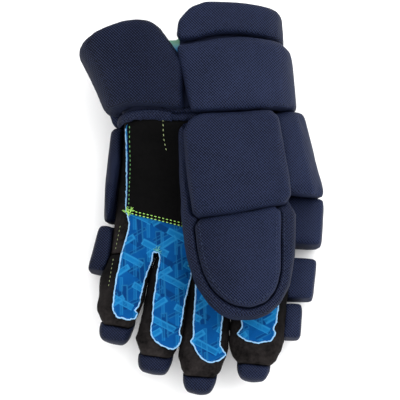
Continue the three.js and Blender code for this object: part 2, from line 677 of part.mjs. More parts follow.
function addBackPad({ name, left, right, wrap, low, top }) {
  const { drop, rise, fall, overhang } = name === "index" ? SIDE_FORM : PLAIN_FORM;
  const pad = pillow({
    cells: [4, 4, 2],
    ends: PAD_ROUND,
    sides: PAD_ROUND,
    place: (a, b, c) => {
      const height = (b + 1) / 2;
      const bottom = rootY + low * PALM_LENGTH - (drop * (a + 1)) / 2 - overhang * Math.max(c, 0);
      const straight = mix(bottom, CUFF_BOTTOM_Y - SEAM, height);
      const section = palm.sectionAt(WRIST_Y - straight);
      const foam = mix(wrap[0], wrap[1], height) * SIDE_FOAM;
      const from = section.side + left * section.wide + Math.min(foam, 0) + SEAM / 2;
      const to = section.side + right * section.wide + Math.max(foam, 0) - SEAM / 2;
      const x = mix(from, to, (a + 1) / 2);
      const round = clamp((x - WRIST_X) / (WRIST_WIDTH / 2 + WRIST_ROLL_FOAM), 0, 1);
      const surface = top - fall * Math.max(a, 0) ** 2;
      return new THREE.Vector3(x, straight + rise * height * round ** 2, mix(-PRESS, surface, (c + 1) / 2));
    },
  });
  const besideThumb = gripSide.add(guard.solid(SEAM));
  addPiece("back_pad_" + name, onBack(pad, name === "index" ? besideThumb : handTop), navyCloth);
}

// Pads on the fingers' backs. from and to are shares of the finger's reach, and wrap is the foam past its
// side as a share of SIDE_FOAM or, on the little finger, of EDGE_FOAM.
const FINGER_PADS = [
  { name: "knuckle_pad", finger: "pinky", from: -0.37, to: 0.31, wrap: -1.2 },
  { name: "knuckle_pad", finger: "ring", from: -0.4, to: 0.07, wrap: 0 },
  { name: "knuckle_pad", finger: "middle", from: -0.38, to: 0.01, wrap: 0 },
  { name: "knuckle_pad", finger: "index", from: -0.58, to: -0.12, wrap: 1.12 },
  { name: "finger_pad", finger: "pinky", from: 0.34, to: 0.74, wrap: -0.15 },
  { name: "finger_pad", finger: "ring", from: 0.1, to: 0.48, wrap: 0 },
  { name: "finger_pad", finger: "middle", from: 0.04, to: 0.42, wrap: 0 },
  { name: "finger_pad", finger: "index", from: -0.02, to: 0.38, wrap: 1 },
  { name: "far_pad", finger: "ring", from: 0.5, to: 0.83, wrap: 0 },
  { name: "far_pad", finger: "middle", from: 0.44, to: 0.77, wrap: 0 },
  { name: "far_pad", finger: "index", from: 0.4, to: 0.74, wrap: 0.68 },
];

function addFingerPad({ name, finger: fingerName, from, to, wrap }) {
  const finger = fingers.find((f) => f.name === fingerName);
  const foam = wrap * (wrap < 0 ? EDGE_FOAM : SIDE_FOAM);
  const bottom = name === "knuckle_pad" ? -PRESS - fingerZ : -FINGER_DEPTH / 2 - FINGER_FOAM;
  const top = wrap ? FINGER_DEPTH / 4 : -FINGER_DEPTH / 4;
  const pad = pillow({
    cells: [4, 3, 2],
    ends: PAD_ROUND,
    sides: PAD_ROUND,
    place: (a, b, c) => {
      const along = finger.reach * mix(from, to, (b + 1) / 2);
      const { side, wide } = finger.sectionAt(along);
      const left = side - wide + Math.min(foam, 0) + SEAM / 2;
      const right = side + wide + Math.max(foam, 0) - SEAM / 2;
      const height = mix(bottom, top, (c + 1) / 2) + finger.rise(along);
      return finger.place(mix(left, right, (a + 1) / 2), along, height);
    },
  });
  addPiece(name + "_" + fingerName, onBack(pad), navyCloth);
}

// The cap round a fingertip, which stands past the end of the cloth sleeve.
function addTipCap(finger) {
  const last = FINGER_PADS.findLast((pad) => pad.finger === finger.name);
  const start = last.to * finger.reach + SEAM;
  const end = finger.reach + TIP_OVERHANG;
  const half = TIP_WIDTH / 2;
  const cap = pillow({
    cells: [4, 3, 3],
    plan: 3.5,
    place: (a, b, c) => {
      const along = mix(start, end, (b + 1) / 2);
      const height = mix(-FINGER_DEPTH / 2 - TIP_FOAM, FINGER_DEPTH / 4, (c + 1) / 2);
      return finger.place(a * half, along, height + finger.rise(along));
    },
  });
  addPiece("tip_cap_" + finger.name, without(cap, handSeat), navyCloth);
}

addPalmBody();
fingers.forEach(addFingerSleeve);
addPalmCloth();
addThumb();
addLining();
addRolls();
addFlap();
addBinding();
BACK_PADS.forEach(addBackPad);
FINGER_PADS.forEach(addFingerPad);
fingers.forEach(addTipCap);

// The origin is the middle of the glove's footprint.
const bounds = new THREE.Box3().setFromObject(glove);
const middle = bounds.getCenter(new THREE.Vector3());
glove.position.set(-middle.x, -middle.y, -bounds.min.z);

export default glove;
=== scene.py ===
import math

import bmesh
import bpy
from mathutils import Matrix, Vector, geometry, noise
from mathutils.bvhtree import BVHTree


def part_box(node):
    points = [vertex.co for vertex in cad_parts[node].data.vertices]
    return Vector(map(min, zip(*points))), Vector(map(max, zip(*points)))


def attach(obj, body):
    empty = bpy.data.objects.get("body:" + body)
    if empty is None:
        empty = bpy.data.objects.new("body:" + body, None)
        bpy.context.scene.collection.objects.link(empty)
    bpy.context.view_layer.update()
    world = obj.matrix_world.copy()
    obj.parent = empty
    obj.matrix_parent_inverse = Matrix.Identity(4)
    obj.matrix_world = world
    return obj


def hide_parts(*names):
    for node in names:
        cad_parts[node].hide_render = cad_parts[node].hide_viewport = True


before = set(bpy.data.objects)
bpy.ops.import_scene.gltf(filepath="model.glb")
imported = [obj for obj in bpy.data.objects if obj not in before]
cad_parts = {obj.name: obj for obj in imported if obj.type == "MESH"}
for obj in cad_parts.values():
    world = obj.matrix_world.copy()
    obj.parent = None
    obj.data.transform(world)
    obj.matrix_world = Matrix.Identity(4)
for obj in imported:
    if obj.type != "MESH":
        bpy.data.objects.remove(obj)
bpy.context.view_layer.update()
scene = bpy.context.scene

MM = 0.001
HAND_NODES = ["palm_body", "sleeve_pinky", "sleeve_ring", "sleeve_middle", "sleeve_index"]

# Points are written in millimetres from the middle of the palm's axis, as in the part's source. The low corner
# of the palm body, at (-74, -42.7) there, gives the step to the frame.
palm_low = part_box("palm_body")[0]
STEP = Vector((palm_low[0] + 74 * MM, palm_low[1] + 42.7 * MM, 0))


def at(x, y, z=0.0):
    return Vector((x, y, z)) * MM + STEP


# Camera

VIEW_AIM = at(-1.6, 0, 50)
VIEW_ELEVATION = math.radians(80)
VIEW_DISTANCE = 1.45


def add_camera():
    data = bpy.data.cameras.new("camera")
    data.sensor_width = 36
    data.lens = 162.7
    camera = bpy.data.objects.new("camera", data)
    back = Vector((0, -math.cos(VIEW_ELEVATION), math.sin(VIEW_ELEVATION)))
    camera.location = VIEW_AIM + back * VIEW_DISTANCE
    camera.rotation_euler = (-back).to_track_quat("-Z", "Y").to_euler()
    scene.collection.objects.link(camera)
    scene.camera = camera


# Materials


class Wire:
    """One socket of a material. Sums and products of wires add Math nodes."""

    def __init__(self, finish, socket):
        self.finish = finish
        self.socket = socket

    def math(self, operation, *values):
        return self.finish.node("ShaderNodeMath", {"operation": operation}, *values)

    def __add__(self, other):
        return self.math("ADD", self, other)

    def __radd__(self, other):
        return self.math("ADD", other, self)

    def __sub__(self, other):
        return self.math("SUBTRACT", self, other)

    def __rsub__(self, other):
        return self.math("SUBTRACT", other, self)

    def __mul__(self, other):
        return self.math("MULTIPLY", self, other)

    def __rmul__(self, other):
        return self.math("MULTIPLY", other, self)

    def __truediv__(self, other):
        return self.math("DIVIDE", self, other)

    def __lt__(self, other):
        return self.math("LESS_THAN", self, other)

    def __gt__(self, other):
        return self.math("GREATER_THAN", self, other)

    def __abs__(self):
        return self.math("ABSOLUTE", self)

    def sine(self):
        return self.math("SINE", self)

    def fraction(self):
        return self.math("FRACT", self)

    def least(self, other):
        return self.math("MINIMUM", self, other)

    def most(self, other):
        return self.math("MAXIMUM", self, other)

    def ramp(self, low, high):
        """Runs from 0 to 1 as the wire runs from low to high."""
        return self.finish.node("ShaderNodeMapRange", {"interpolation_type": "SMOOTHSTEP"}, self, low, high)


class Finish:
    """One material, with its shader's constants set by name."""

    def __init__(self, name, **constants):
        self.material = bpy.data.materials.new(name)
        self.material.use_nodes = True
        self.tree = self.material.node_tree
        self.shader = self.tree.nodes["Principled BSDF"]
        for key, value in constants.items():
            self.shader.inputs[key.replace("_", " ")].default_value = value
        self.coordinates = self.node("ShaderNodeTexCoord", output="Object")

    def node(self, kind, settings=None, *inputs, output=0, **named):
        node = self.tree.nodes.new(kind)
        for key, value in (settings or {}).items():
            setattr(node, key, value)
        for key, value in [*enumerate(inputs), *named.items()]:
            self.feed(node.inputs[key.replace("_", " ") if isinstance(key, str) else key], value)
        return Wire(self, node.outputs[output])

    def feed(self, socket, value):
        if isinstance(value, Wire):
            self.tree.links.new(value.socket, socket)
        else:
            socket.default_value = value

    def axes(self):
        """The place on the piece, as three wires in metres."""
        split = self.node("ShaderNodeSeparateXYZ", {}, self.coordinates).socket.node
        return [Wire(self, socket) for socket in split.outputs]

    def stretched(self, scale):
        """The place on the piece, scaled along each axis."""
        return self.node("ShaderNodeVectorMath", {"operation": "MULTIPLY"}, self.coordinates, scale)

    def cloud(self, scale, detail=2.0, roughness=0.5, place=None):
        vector = self.coordinates if place is None else place
        named = {"Vector": vector, "Scale": scale, "Detail": detail, "Roughness": roughness}
        return self.node("ShaderNodeTexNoise", {}, **named)

    def tone(self, share, first, second, settings=None):
        """A colour between two others."""
        node = {"data_type": "RGBA", **(settings or {})}
        mixed = self.node("ShaderNodeMix", node, share, output=2)
        self.feed(mixed.socket.node.inputs[6], first if isinstance(first, Wire) else (*first, 1))
        self.feed(mixed.socket.node.inputs[7], second if isinstance(second, Wire) else (*second, 1))
        return mixed

    def attribute(self, name):
        return self.node("ShaderNodeAttribute", {"attribute_name": name}, output="Fac")

    def colour(self, wire):
        self.feed(self.shader.inputs["Base Color"], wire)

    def rough(self, wire):
        self.feed(self.shader.inputs["Roughness"], wire)

    def relief(self, height, strength, distance):
        named = {"Strength": strength, "Distance": distance, "Height": height}
        self.feed(self.shader.inputs["Normal"], self.node("ShaderNodeBump", {}, **named))


def woven(first, second, drift, turns):
    """Two crossed sets of slanting ribs, one stronger."""
    rising = ((first + second + drift) * turns).sine()
    falling = ((first - second - drift) * (turns * 0.86)).sine()
    return rising * 0.32 + falling * 0.18 + 0.5


def navy_cloth(name, dark=(0.0002, 0.0008, 0.0036), light=(0.0158, 0.0222, 0.0545), rib=2.2):
    """Woven nylon: two sets of fine slanting ribs, one stronger, with coarse yarn and fading, and light and shade
    painted in from each point's stored level.
    """
    finish = Finish(name, Specular_IOR_Level=0.06)
    x, y, z = finish.axes()
    drift = finish.cloud(35, 1.0) * (0.9 * MM)
    turns = 2 * math.pi / (rib * MM)
    above = woven(x, y, drift, turns)
    level = above + (woven(z, y, drift, turns) - above) * finish.attribute("sideways")
    weave = level + (woven(x, z, drift, turns) - level) * finish.attribute("endways")
    fading = finish.cloud(28, 3.0, 0.6)
    yarn = finish.cloud(650, 2.0, 0.7)
    # Painted light and shade: the stored level per point lightens or darkens the cloth's colour.
    share = weave * 2.6 + fading * 0.7 + yarn * 1.7 + finish.attribute("painted_light") * 1.1 - 2.55
    finish.colour(finish.tone(share, dark, light))
    finish.rough(weave * -0.12 + yarn * 0.1 + 0.66)
    finish.relief(weave * 0.7 + yarn * 0.4 + fading * 0.8, 0.6, 0.4 * MM)
    return finish.material


def suede(name, dark, light, nap=260.0):
    """Brushed cloth: a fine nap, and larger patches where it lies another way."""
    finish = Finish(name, Specular_IOR_Level=0.03)
    patches = finish.cloud(45, 3.0, 0.6)
    grain = finish.cloud(nap, 3.0, 0.75)
    finish.colour(finish.tone(patches * 0.7 + grain * 0.9 - 0.3, dark, light))
    finish.rough(grain * 0.15 + 0.8)
    finish.relief(grain * 0.6 + patches * 0.6, 0.6, 0.3 * MM)
    return finish.material


def sleeve_cloth(name):
    """Black knit that has turned brown and dusty towards the fingertips."""
    finish = Finish(name, Specular_IOR_Level=0.05)
    x, y, z = finish.axes()
    worn = finish.attribute("worn")
    patches = finish.cloud(60, 3.0, 0.6)
    grain = finish.cloud(420, 2.0, 0.7)
    turns = 2 * math.pi / (1.3 * MM)
    knit = ((y + z * 0.4) * turns).sine() * ((x - z * 0.4) * turns).sine() * 0.5 + 0.5
    fresh = finish.tone(patches * 1.6 + grain * 0.9 - 0.75, (0.0010, 0.0010, 0.0011), (0.0050, 0.0047, 0.0050))
    dusty = finish.tone(patches * 2.0 + grain * 1.2 - 1.1, (0.0016, 0.0013, 0.0013), (0.0215, 0.0182, 0.0178))
    finish.colour(finish.tone(worn, fresh, dusty))
    finish.rough(grain * 0.12 + 0.8)
    finish.relief(knit * 0.4 + grain * 0.6 + patches * 1.6, 0.8, 0.5 * MM)
    return finish.material


def printed_cloth(name):
    """Blue suede with a tone-on-tone print of short outlined bands that cross at 60 degrees."""
    finish = Finish(name, Specular_IOR_Level=0.04)
    x, y, z = finish.axes()
    wobble = finish.cloud(120, 2.0) - 0.5
    layers, rims = [], []
    for turn, pitch, width, length, slide in PRINT_BANDS:
        across = x * math.cos(turn) + y * math.sin(turn)
        along = y * math.cos(turn) - x * math.sin(turn)
        band = (across / (pitch * MM) + slide + wobble * 0.05).fraction()
        row = across / (pitch * MM) + slide - band
        piece = (along / (length * MM) + row * 0.37 + wobble * 0.04).fraction()
        share = (1 - band.ramp(width - 0.03, width + 0.03)) * (1 - piece.ramp(0.6, 0.62))
        inner = (1 - band.ramp(width - 0.1, width - 0.05)) * band.ramp(0.02, 0.06) * (1 - piece.ramp(0.57, 0.585))
        layers.append(share)
        rims.append((share - inner).most(0))
    bright = layers[0].most(layers[1]).most(layers[5] * 0.5)
    deep = layers[2].most(layers[3]).most(layers[4] * 0.7)
    rim = rims[0].most(rims[1]).most(rims[2] * 0.7).most(rims[4] * 0.6).most(rims[5] * 0.5)
    washes = finish.cloud(70, 3.0, 0.6)
    grain = finish.cloud(700, 2.0, 0.7)
    ground = finish.tone(washes * 1.2 - 0.1, (0.0002, 0.034, 0.146), (0.0010, 0.068, 0.238))
    lit = finish.tone(bright * 0.55, ground, (0.008, 0.175, 0.400))
    printed = finish.tone(deep * (1 - bright * 0.6) * 0.75, lit, (0.0002, 0.016, 0.084))
    outlined = finish.tone(rim * 0.5, printed, (0.02, 0.22, 0.46))
    finish.colour(finish.tone(grain * 0.3, outlined, (0.002, 0.070, 0.235)))
    finish.rough(grain * 0.15 + 0.68)
    finish.relief(grain * 0.5 + washes * 0.7, 0.5, 0.3 * MM)
    return finish.material


# Direction, pitch in mm, width as a share of the pitch, length in mm, and offset of each set of bands.
PRINT_BANDS = [
    (math.radians(62), 17.0, 0.30, 38.0, 0.15),
    (math.radians(-58), 19.0, 0.24, 44.0, 0.4),
    (math.radians(4), 15.0, 0.34, 33.0, 0.62),
    (math.radians(58), 21.0, 0.22, 29.0, 0.8),
    (math.radians(-62), 12.0, 0.26, 21.0, 0.3),
    (math.radians(1), 11.0, 0.24, 19.0, 0.1),
]


def lining_cloth(name):
    """Knitted lining, blue inside and greenish at the mouth, under a navy shell."""
    finish = Finish(name, Specular_IOR_Level=0.1)
    x, y, z = finish.axes()
    turns = 2 * math.pi / (1.6 * MM)
    knit = (y * turns).sine() * ((x + z) * turns).sine() * 0.5 + 0.5
    patches = finish.cloud(55, 3.0, 0.6)
    mouth = (y + patches * (8 * MM)).ramp(118 * MM, 126 * MM)
    blue = finish.tone(patches, (0.012, 0.10, 0.27), (0.04, 0.19, 0.38))
    green = finish.tone(patches, (0.10, 0.25, 0.18), (0.22, 0.42, 0.30))
    inner = finish.tone(mouth, blue, green)
    shell = finish.tone(knit, (0.007, 0.010, 0.026), (0.022, 0.028, 0.062))
    shown = finish.attribute("shown").ramp(0.4, 0.6)
    finish.colour(finish.tone(shown, shell, inner))
    finish.rough(knit * -0.1 + 0.82)
    finish.relief(knit + patches * 0.5, 0.5, 0.3 * MM)
    return finish.material


def thread(name, dark, light):
    """Twisted thread, with the light and dark of its strands."""
    finish = Finish(name, Specular_IOR_Level=0.15)
    strands = finish.cloud(1500, 2.0, 0.6)
    finish.colour(finish.tone(strands, dark, light))
    finish.rough(strands * 0.2 + 0.5)
    finish.relief(strands, 0.5, 0.15 * MM)
    return finish.material


def pale_floor():
    finish = Finish("pale_floor")
    cloud = finish.cloud(3, 2.0)
    finish.colour(finish.tone(cloud, (0.95, 0.95, 0.95), (0.97, 0.97, 0.97)))
    finish.rough(cloud * 0.1 + 0.85)
    return finish.material


# Meshes


def only(piece):
    for chosen in bpy.context.selected_objects:
        chosen.select_set(False)
    piece.select_set(True)
    bpy.context.view_layer.objects.active = piece


def copy_of(node, name):
    """A welded copy of a CAD node."""
    piece = bpy.data.objects.new(name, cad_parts[node].data.copy())
    scene.collection.objects.link(piece)
    piece.data.materials.clear()
    only(piece)
    bpy.ops.object.mode_set(mode="EDIT")
    bpy.ops.mesh.select_all(action="SELECT")
    bpy.ops.mesh.remove_doubles(threshold=0.01 * MM)
    bpy.ops.object.mode_set(mode="OBJECT")
    return piece


def modify(piece, kind, **settings):
    """Adds a modifier, sets it and applies it."""
    only(piece)
    modifier = piece.modifiers.new(kind.lower(), kind)
    for key, value in settings.items():
        setattr(modifier, key, value)
    bpy.ops.object.modifier_apply(modifier=modifier.name)


def remesh(piece, cell, rounds, factor=0.5):
    modify(piece, "REMESH", mode="VOXEL", voxel_size=cell * MM, use_smooth_shade=True)
    modify(piece, "SMOOTH", factor=factor, iterations=rounds)


def shift_along_normals(piece, distance):
    """Moves every point along its normal. distance gives millimetres from a point and its normal."""
    mesh = piece.data
    normals = [v.normal.copy() for v in mesh.vertices]
    for vertex, normal in zip(mesh.vertices, normals):
        vertex.co += normal * (distance(vertex.co, normal) * MM)


def rest_on_floor(piece):
    for vertex in piece.data.vertices:
        vertex.co.z = max(vertex.co.z, 0.0)


def finish_piece(piece, material, slot, *nodes):
    piece.data.materials.clear()
    piece.data.materials.append(material)
    for polygon in piece.data.polygons:
        polygon.use_smooth = True
    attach(piece, "root")
    if nodes:
        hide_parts(*nodes)


# How each finger hangs: where its cap starts and its tip ends along Y, and how far the tip leans sideways, in mm.
FINGERS = {
    "pinky": {"cap": -97, "end": -116, "lean": 5.2},
    "ring": {"cap": -123, "end": -140, "lean": 3.8},
    "middle": {"cap": -135, "end": -155, "lean": 2.2},
    "index": {"cap": -128, "end": -145, "lean": 0.4},
}
LEAN_START = -62
FULL_START = -42
SLEEVE_FULLNESS = 2.6
CAP_TAPER = 0.16


def eased(share):
    """A smooth step from 0 to 1."""
    share = max(0.0, min(1.0, share))
    return share * share * (3 - 2 * share)


def shape_finger(piece, node, fullness):
    """Leans a piece of a finger towards the little finger, and fills it out sideways above the cap."""
    form = FINGERS.get(node.split("_")[-1])
    if form is None or node.startswith(("back", "knuckle")):
        return
    vertices = piece.data.vertices
    normals = [v.normal.copy() for v in vertices]
    middle = (max(v.co.x for v in vertices) + min(v.co.x for v in vertices)) / 2
    taper = CAP_TAPER if node.startswith("tip") else 0
    for vertex, normal in zip(vertices, normals):
        y = (vertex.co.y - STEP.y) / MM
        run = max(0.0, (LEAN_START - y) / (LEAN_START - form["end"]))
        full = eased((FULL_START - y) / 20) * eased((y - form["cap"] + 3) / 20)
        depth = max(0.0, (form["cap"] - y) / (form["cap"] - form["end"]))
        vertex.co.x += (normal.x * fullness * full - form["lean"] * min(run, 1.1) ** 2) * MM
        vertex.co.x -= (vertex.co.x - middle) * taper * depth**2


def stretch_up(piece, low, high, rise):
    """Carries a pad's upper part up by rise, from nothing at low, all along Y in mm."""
    for vertex in piece.data.vertices:
        y = (vertex.co.y - STEP.y) / MM
        vertex.co.y += rise * MM * max(0.0, (y - low) / (high - low))


def shift_edge(piece, distance):
    """Moves the edge on a pad's left by a distance in mm, and what lies near it by less."""
    edge = min(v.co.x for v in piece.data.vertices)
    for vertex in piece.data.vertices:
        vertex.co.x += distance * eased(1 - (vertex.co.x - edge) / (18 * MM)) * MM


def shape_flap(piece):
    """Drops the flap's outer top corner, and brings its inner edge up to the rolls."""
    for vertex in piece.data.vertices:
        x, y = (vertex.co.x - STEP.x) / MM, (vertex.co.y - STEP.y) / MM
        outer = max(0.0, (-55 - x) / 40)
        upper = max(0.0, (y - 70) / 60)
        inner = max(0.0, (x + 50) / 28)
        vertex.co.y -= (1.6 + 7.0 * outer**2) * min(1.2, upper) * MM
        vertex.co.x += 6.5 * inner * eased((y - 72) / 36) * MM


def lower_back(piece):
    """Lowers the cuff roll's edge behind the slit, where it passes round the back."""
    for vertex in piece.data.vertices:
        x, y = (vertex.co.x - STEP.x) / MM, (vertex.co.y - STEP.y) / MM
        behind = eased((60 * MM - vertex.co.z) / (30 * MM)) * eased((20 - x) / 30)
        vertex.co.y -= 0.42 * max(0.0, y - 126) * behind * MM


# Padded pieces. cell is the remesh size in mm, swell how far the filling may push the cover out. The last two keys
# set the painted light and shade of each piece's cloth: its level, and how much the painted light changes from its
# left side to its right.
PADS = {
    "wrist_roll": {"cell": 2.8, "swell": 2.2, "tuck": 0.6, "painted_light": 0.49, "drift": 0.2},
    "cuff_roll": {"cell": 2.6, "swell": 2.2, "tuck": 0.6, "painted_light": 0.5, "drift": -0.06},
    "inner_cuff": {"cell": 2.4, "swell": 1.8, "tuck": -0.4, "painted_light": 0.15, "drift": -0.04},
    "thumb_guard": {"cell": 2.0, "swell": 1.0, "tuck": 0.4, "painted_light": 0.31, "drift": -0.05},
    "thumb_base_pad": {"cell": 1.5, "swell": 1.2, "tuck": -1.2, "rounds": 2, "painted_light": 0.46, "drift": 0.1},
    "thumb_tip_pad": {"cell": 1.5, "swell": 1.6, "tuck": -0.9, "rounds": 3, "painted_light": 0.44, "drift": 0.3},
    "wrist_binding": {"cell": 1.2, "swell": 0.4, "tuck": 0.1, "painted_light": 0.3, "drift": 0.04},
    "back_pad_pinky": {"cell": 2.4, "swell": 1.6, "tuck": 0.5, "painted_light": 0.22, "drift": 0.04},
    "back_pad_centre": {"cell": 2.2, "swell": 1.6, "tuck": 0.5, "painted_light": 0.4, "drift": 0.1},
    "back_pad_index": {"cell": 2.4, "swell": 2.2, "tuck": 0.0, "painted_light": 0.67, "drift": 0.14},
    "knuckle_pad_pinky": {"cell": 2.0, "swell": 1.4, "tuck": 0.5, "painted_light": 0.14, "drift": 0.04},
    "knuckle_pad_ring": {"cell": 2.0, "swell": 1.4, "tuck": 0.5, "painted_light": 0.35, "drift": 0.05},
    "knuckle_pad_middle": {"cell": 2.0, "swell": 1.4, "tuck": 0.5, "painted_light": 0.45, "drift": 0.05},
    "knuckle_pad_index": {"cell": 2.0, "swell": 1.4, "tuck": 0.5, "painted_light": 0.78, "drift": 0.06},
    "finger_pad_pinky": {"cell": 1.8, "swell": 1.2, "tuck": 0.5, "painted_light": 0.25, "drift": 0.05},
    "finger_pad_ring": {"cell": 1.8, "swell": 1.2, "tuck": 0.5, "painted_light": 0.35, "drift": 0.05},
    "finger_pad_middle": {"cell": 1.8, "swell": 1.2, "tuck": 0.5, "painted_light": 0.42, "drift": 0.05},
    "finger_pad_index": {"cell": 1.8, "swell": 1.2, "tuck": 0.5, "painted_light": 0.7, "drift": 0.05},
    "far_pad_ring": {"cell": 1.8, "swell": 1.2, "tuck": 0.5, "painted_light": 0.35, "drift": 0.05},
    "far_pad_middle": {"cell": 1.8, "swell": 1.2, "tuck": 0.5, "painted_light": 0.42, "drift": 0.05},
    "far_pad_index": {"cell": 1.8, "swell": 1.2, "tuck": 0.5, "painted_light": 0.52, "drift": 0.05},
    "tip_cap_pinky": {"cell": 1.8, "swell": 0.5, "tuck": 0.8, "painted_light": 0.24, "drift": 0.05},
    "tip_cap_ring": {"cell": 1.8, "swell": 0.5, "tuck": 0.8, "painted_light": 0.3, "drift": 0.06},
    "tip_cap_middle": {"cell": 1.8, "swell": 0.5, "tuck": 0.8, "painted_light": 0.33, "drift": 0.08},
    "tip_cap_index": {"cell": 1.8, "swell": 0.5, "tuck": 0.8, "painted_light": 0.45, "drift": 0.1},
}
SWELL_FRAMES = 20
SWELL_PRESSURE = 4.0


def add_filling(piece):
    """Cloth under pressure, with no gravity."""
    cloth = piece.modifiers.new("filling", "CLOTH")
    cloth.settings.use_pressure = True
    cloth.settings.uniform_pressure_force = SWELL_PRESSURE
    cloth.settings.effector_weights.gravity = 0
    cloth.settings.quality = 4
    cloth.settings.mass = 0.3
    cloth.settings.tension_stiffness = 25
    cloth.settings.compression_stiffness = 25
    cloth.settings.bending_stiffness = 1.5
    cloth.collision_settings.use_collision = False
    cloth.point_cache.frame_start = 1
    cloth.point_cache.frame_end = SWELL_FRAMES


def take_swelling(piece, limit):
    """Keeps the swollen shape, with no point further than limit from where it was."""
    depsgraph = bpy.context.evaluated_depsgraph_get()
    swollen = piece.evaluated_get(depsgraph).to_mesh()
    moves = [new.co - old.co for new, old in zip(swollen.vertices, piece.data.vertices)]
    longest = max(move.length for move in moves)
    piece.modifiers.clear()
    for vertex, move in zip(piece.data.vertices, moves):
        vertex.co += move * min(1.0, limit * MM / max(move.length, 1e-9))
    return longest


def dented(co, normal):
    """The dents and puckers of foam under cloth, in mm."""
    broad = noise.noise(co * 45)
    fine = noise.noise(co * 140 + Vector((7, 3, 1)))
    return 0.45 * broad + 0.14 * fine


def note_facing(piece, painted_light, drift):
    """Stores how far each point faces along X and along Y, for the weave, and the light and shade painted there:
    each piece's level, changing from its left to its right, and lighter on sides facing right.
    """
    normals = [v.normal.copy() for v in piece.data.vertices]
    places = [v.co.x for v in piece.data.vertices]
    middle, half = (max(places) + min(places)) / 2, (max(places) - min(places)) / 2
    # Painted light and shade, lighter to the right and on right-facing sides.
    values = [painted_light + drift * (x - middle) / half + 0.08 * n.x for x, n in zip(places, normals)]
    piece.data.attributes.new("painted_light", "FLOAT", "POINT").data.foreach_set("value", values)
    for name, axis in (("sideways", 0), ("endways", 1)):
        facing = piece.data.attributes.new(name, "FLOAT", "POINT")
        facing.data.foreach_set("value", [eased((abs(n[axis]) - 0.62) / 0.16) for n in normals])


def size_rounds(node):
    return PADS[node].get("rounds", 5) // 2 + 1


def add_pads(material):
    pieces = {}
    for node, size in PADS.items():
        piece = copy_of(node, node.replace("_pad", "") + "_cushion")
        shift_along_normals(piece, lambda co, normal: -size["tuck"])
        remesh(piece, size["cell"], size.get("rounds", 5))
        pieces[node] = piece
    for piece in pieces.values():
        add_filling(piece)
    for number in range(1, SWELL_FRAMES + 1):
        scene.frame_set(number)
    for node, piece in pieces.items():
        moved = take_swelling(piece, PADS[node]["swell"])
        print("swell", node, len(piece.data.vertices), round(moved / MM, 2))
    scene.frame_set(1)
    stretch_up(pieces["back_pad_pinky"], 20, 58, 4.5)
    stretch_up(pieces["back_pad_index"], 25, 67, 5.0)
    for finger, form in FINGERS.items():
        stretch_up(pieces["tip_cap_" + finger], form["end"], form["cap"] + 8, 2.6)
    shift_edge(pieces["back_pad_pinky"], -3.2)
    shift_edge(pieces["thumb_base_pad"], 3.0)
    shape_flap(pieces["inner_cuff"])
    lower_back(pieces["cuff_roll"])
    for node, piece in pieces.items():
        size = PADS[node]
        modify(piece, "SMOOTH", factor=0.5, iterations=size_rounds(node))
        modify(piece, "SUBSURF", levels=1, render_levels=1)
        shift_along_normals(piece, dented)
        shape_finger(piece, node, 0)
        rest_on_floor(piece)
        # Paints light and shade into each piece's cloth colour.
        note_facing(piece, size["painted_light"], size["drift"])
        finish_piece(piece, material, "navy_cloth", node)
    return pieces


# Cloth hand


def creased(co, normal):
    """Folds across a finger, deeper towards its tip, and a finely rumpled surface."""
    deeper = max(0.0, min(1.0, (at(0, -60).y - co.y) / (40 * MM)))
    across = noise.noise(Vector((co.x * 30, co.y * 120 + co.x * 40, co.z * 40)))
    bulge = noise.noise(co * 60 + Vector((2, 8, 5)))
    fine = noise.noise(co * 200)
    return -0.45 + (0.5 + 0.9 * deeper) * across + 0.6 * deeper * bulge + 0.12 * fine


def add_sleeve(node, cell, material, slot):
    piece = copy_of(node, node + "_cloth")
    remesh(piece, cell, 4)
    shift_along_normals(piece, creased)
    shape_finger(piece, node, SLEEVE_FULLNESS)
    mesh = piece.data
    low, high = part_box(node)
    worn = mesh.attributes.new("worn", "FLOAT", "POINT")
    tip = low[1] + 4 * MM
    reach = 46 * MM
    values = [max(0.0, min(1.0, 1 - (v.co.y - tip) / reach)) for v in mesh.vertices]
    worn.data.foreach_set("value", values)
    finish_piece(piece, material, slot, node)
    return piece


def add_lining():
    """The cuff's lining: its shell is navy but for the slit between the flap and the rolls."""
    piece = add_sleeve("cuff_lining", 1.3, lining, "cuff_lining")
    axis = at(-10, 100, 53)
    low, high = at(-36, 107, 40), at(-18, 200, 200)
    mouth = at(0, 95).y
    for vertex in piece.data.vertices:
        x, y = (vertex.co.x - STEP.x) / MM, (vertex.co.y - STEP.y) / MM
        if x < -4:
            vertex.co.y -= 0.45 * max(0.0, y - 125) * min(1.0, (-4 - x) / 14) * MM
    lower_back(piece)
    values = []
    for vertex in piece.data.vertices:
        outward = Vector((vertex.co.x - axis.x, 0, vertex.co.z - axis.z))
        in_slit = all(low[i] < vertex.co[i] < high[i] for i in range(3))
        inward = vertex.normal.dot(outward.normalized()) < -0.35
        values.append(1.0 if in_slit or (inward and vertex.co.y > mouth) else 0.0)
    shown = piece.data.attributes.new("shown", "FLOAT", "POINT")
    shown.data.foreach_set("value", values)


def tree_of(meshes):
    points, faces = [], []
    for mesh in meshes:
        start = len(points)
        points += [v.co.copy() for v in mesh.vertices]
        faces += [[start + i for i in polygon.vertices] for polygon in mesh.polygons]
    return BVHTree.FromPolygons(points, faces)


